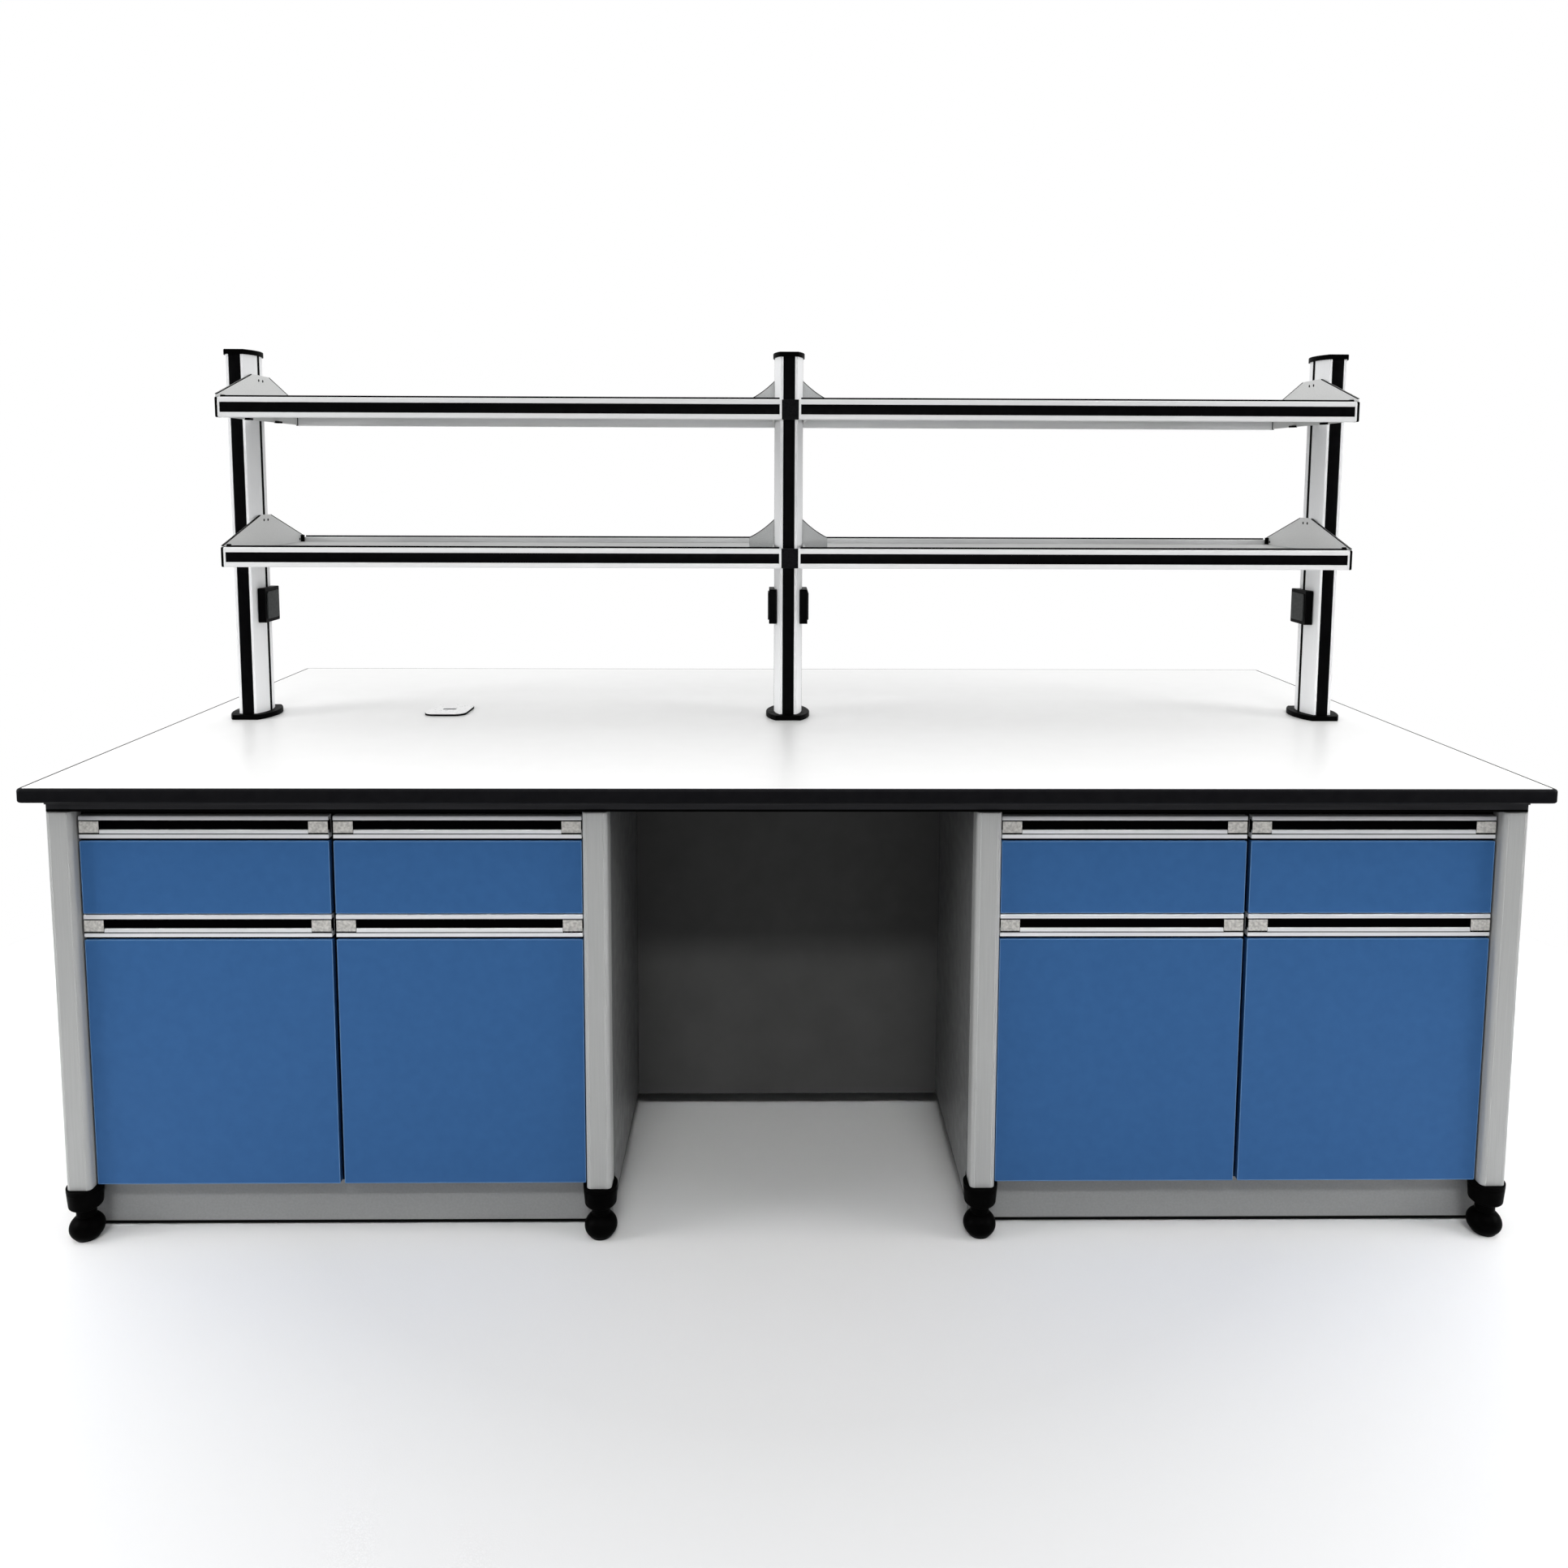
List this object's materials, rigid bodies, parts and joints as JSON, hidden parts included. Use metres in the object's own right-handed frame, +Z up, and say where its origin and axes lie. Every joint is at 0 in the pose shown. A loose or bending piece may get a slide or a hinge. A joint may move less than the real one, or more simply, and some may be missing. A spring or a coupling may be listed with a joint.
{
  "type": "laboratory island bench",
  "caption": "Double-sided laboratory island bench: white worktop on aluminium columns, blue drawer and cupboard pedestals, knee space and a tiered reagent rack on posts.",
  "frame": {"origin": "on the floor under the middle of the bench", "axes": "+X along the length to the right as seen from the front, +Y from front to rear, +Z up"},
  "size_m": [3, 1.5, 1.8562],
  "materials": {
    "white_laminate": "white solid laminate, black core at the edge",
    "white_lid": "moulded white plastic",
    "black_nylon": "moulded black plastic",
    "leg_aluminium": "satin anodised",
    "grey_board": "grey laminated board",
    "blue_board": "blue laminated board",
    "handle_aluminium": "satin anodised extrusion with plastic end caps",
    "rack_aluminium": "bright anodised extrusion with black strips"
  },
  "bodies": {
    "bench": {"worktop": "white_laminate", "front_top_rail": "black_nylon", "front_leg_1": "leg_aluminium", "front_leg_2": "leg_aluminium", "front_leg_3": "leg_aluminium", "front_leg_4": "leg_aluminium", "rear_top_rail": "black_nylon", "rear_leg_1": "leg_aluminium", "rear_leg_2": "leg_aluminium", "rear_leg_3": "leg_aluminium", "rear_leg_4": "leg_aluminium", "base_beam_1": "black_nylon", "base_beam_2": "black_nylon", "base_beam_3": "black_nylon", "base_beam_4": "black_nylon", "front_left_carcass": "grey_board", "front_right_carcass": "grey_board", "rear_left_carcass": "grey_board", "rear_right_carcass": "grey_board", "service_duct": "grey_board", "left_post": "rack_aluminium", "middle_post": "rack_aluminium", "right_post": "rack_aluminium", "lower_left_shelf": "rack_aluminium", "lower_right_shelf": "rack_aluminium", "upper_left_shelf": "rack_aluminium", "upper_right_shelf": "rack_aluminium"},
    "front_drawer_1": {"front_drawer_1": "blue_board", "front_drawer_1_handle": "handle_aluminium"},
    "front_door_1": {"front_door_1": "blue_board", "front_door_1_handle": "handle_aluminium"},
    "front_foot_1": {"front_foot_1": "black_nylon"},
    "front_drawer_2": {"front_drawer_2": "blue_board", "front_drawer_2_handle": "handle_aluminium"},
    "front_door_2": {"front_door_2": "blue_board", "front_door_2_handle": "handle_aluminium"},
    "front_foot_2": {"front_foot_2": "black_nylon"},
    "front_drawer_3": {"front_drawer_3": "blue_board", "front_drawer_3_handle": "handle_aluminium"},
    "front_door_3": {"front_door_3": "blue_board", "front_door_3_handle": "handle_aluminium"},
    "front_foot_3": {"front_foot_3": "black_nylon"},
    "front_drawer_4": {"front_drawer_4": "blue_board", "front_drawer_4_handle": "handle_aluminium"},
    "front_door_4": {"front_door_4": "blue_board", "front_door_4_handle": "handle_aluminium"},
    "front_foot_4": {"front_foot_4": "black_nylon"},
    "rear_drawer_1": {"rear_drawer_1": "blue_board"},
    "rear_door_1": {"rear_door_1": "blue_board"},
    "rear_foot_1": {"rear_foot_1": "black_nylon"},
    "rear_drawer_2": {"rear_drawer_2": "blue_board"},
    "rear_door_2": {"rear_door_2": "blue_board"},
    "rear_foot_2": {"rear_foot_2": "black_nylon"},
    "rear_drawer_3": {"rear_drawer_3": "blue_board"},
    "rear_door_3": {"rear_door_3": "blue_board"},
    "rear_foot_3": {"rear_foot_3": "black_nylon"},
    "rear_drawer_4": {"rear_drawer_4": "blue_board"},
    "rear_door_4": {"rear_door_4": "blue_board"},
    "rear_foot_4": {"rear_foot_4": "black_nylon"},
    "outlet_lid": {"outlet_lid": "white_lid"}
  },
  "joints": [
    {"name": "front_drawer_1_slide", "type": "slide", "parent": "bench", "child": "front_drawer_1", "axis": [0, -1, 0], "range_m": [0, 0.4]},
    {"name": "front_door_1_hinge", "type": "hinge", "parent": "bench", "child": "front_door_1", "pos_m": [-1.411, -0.695, 0.4], "axis": [0, 0, -1], "range_deg": [0, 90]},
    {"name": "front_foot_1_thread", "type": "slide", "parent": "bench", "child": "front_foot_1", "axis": [0, 0, 1], "range_m": [-0.02, 0]},
    {"name": "front_drawer_2_slide", "type": "slide", "parent": "bench", "child": "front_drawer_2", "axis": [0, -1, 0], "range_m": [0, 0.4]},
    {"name": "front_door_2_hinge", "type": "hinge", "parent": "bench", "child": "front_door_2", "pos_m": [-0.419, -0.695, 0.4], "axis": [0, 0, 1], "range_deg": [0, 90]},
    {"name": "front_foot_2_thread", "type": "slide", "parent": "bench", "child": "front_foot_2", "axis": [0, 0, 1], "range_m": [-0.02, 0]},
    {"name": "front_drawer_3_slide", "type": "slide", "parent": "bench", "child": "front_drawer_3", "axis": [0, -1, 0], "range_m": [0, 0.4]},
    {"name": "front_door_3_hinge", "type": "hinge", "parent": "bench", "child": "front_door_3", "pos_m": [0.419, -0.695, 0.4], "axis": [0, 0, -1], "range_deg": [0, 90]},
    {"name": "front_foot_3_thread", "type": "slide", "parent": "bench", "child": "front_foot_3", "axis": [0, 0, 1], "range_m": [-0.02, 0]},
    {"name": "front_drawer_4_slide", "type": "slide", "parent": "bench", "child": "front_drawer_4", "axis": [0, -1, 0], "range_m": [0, 0.4]},
    {"name": "front_door_4_hinge", "type": "hinge", "parent": "bench", "child": "front_door_4", "pos_m": [1.411, -0.695, 0.4], "axis": [0, 0, 1], "range_deg": [0, 90]},
    {"name": "front_foot_4_thread", "type": "slide", "parent": "bench", "child": "front_foot_4", "axis": [0, 0, 1], "range_m": [-0.02, 0]},
    {"name": "rear_drawer_1_slide", "type": "slide", "parent": "bench", "child": "rear_drawer_1", "axis": [0, 1, 0], "range_m": [0, 0.4]},
    {"name": "rear_door_1_hinge", "type": "hinge", "parent": "bench", "child": "rear_door_1", "pos_m": [1.411, 0.695, 0.4], "axis": [0, 0, -1], "range_deg": [0, 90]},
    {"name": "rear_foot_1_thread", "type": "slide", "parent": "bench", "child": "rear_foot_1", "axis": [0, 0, 1], "range_m": [-0.02, 0]},
    {"name": "rear_drawer_2_slide", "type": "slide", "parent": "bench", "child": "rear_drawer_2", "axis": [0, 1, 0], "range_m": [0, 0.4]},
    {"name": "rear_door_2_hinge", "type": "hinge", "parent": "bench", "child": "rear_door_2", "pos_m": [0.419, 0.695, 0.4], "axis": [0, 0, 1], "range_deg": [0, 90]},
    {"name": "rear_foot_2_thread", "type": "slide", "parent": "bench", "child": "rear_foot_2", "axis": [0, 0, 1], "range_m": [-0.02, 0]},
    {"name": "rear_drawer_3_slide", "type": "slide", "parent": "bench", "child": "rear_drawer_3", "axis": [0, 1, 0], "range_m": [0, 0.4]},
    {"name": "rear_door_3_hinge", "type": "hinge", "parent": "bench", "child": "rear_door_3", "pos_m": [-0.419, 0.695, 0.4], "axis": [0, 0, -1], "range_deg": [0, 90]},
    {"name": "rear_foot_3_thread", "type": "slide", "parent": "bench", "child": "rear_foot_3", "axis": [0, 0, 1], "range_m": [-0.02, 0]},
    {"name": "rear_drawer_4_slide", "type": "slide", "parent": "bench", "child": "rear_drawer_4", "axis": [0, 1, 0], "range_m": [0, 0.4]},
    {"name": "rear_door_4_hinge", "type": "hinge", "parent": "bench", "child": "rear_door_4", "pos_m": [-1.411, 0.695, 0.4], "axis": [0, 0, 1], "range_deg": [0, 90]},
    {"name": "rear_foot_4_thread", "type": "slide", "parent": "bench", "child": "rear_foot_4", "axis": [0, 0, 1], "range_m": [-0.02, 0]},
    {"name": "outlet_lid_hinge", "type": "hinge", "parent": "bench", "child": "outlet_lid", "pos_m": [-0.868, 0.105, 0.9503], "axis": [-1, 0, 0], "range_deg": [0, 90]}
  ]
}
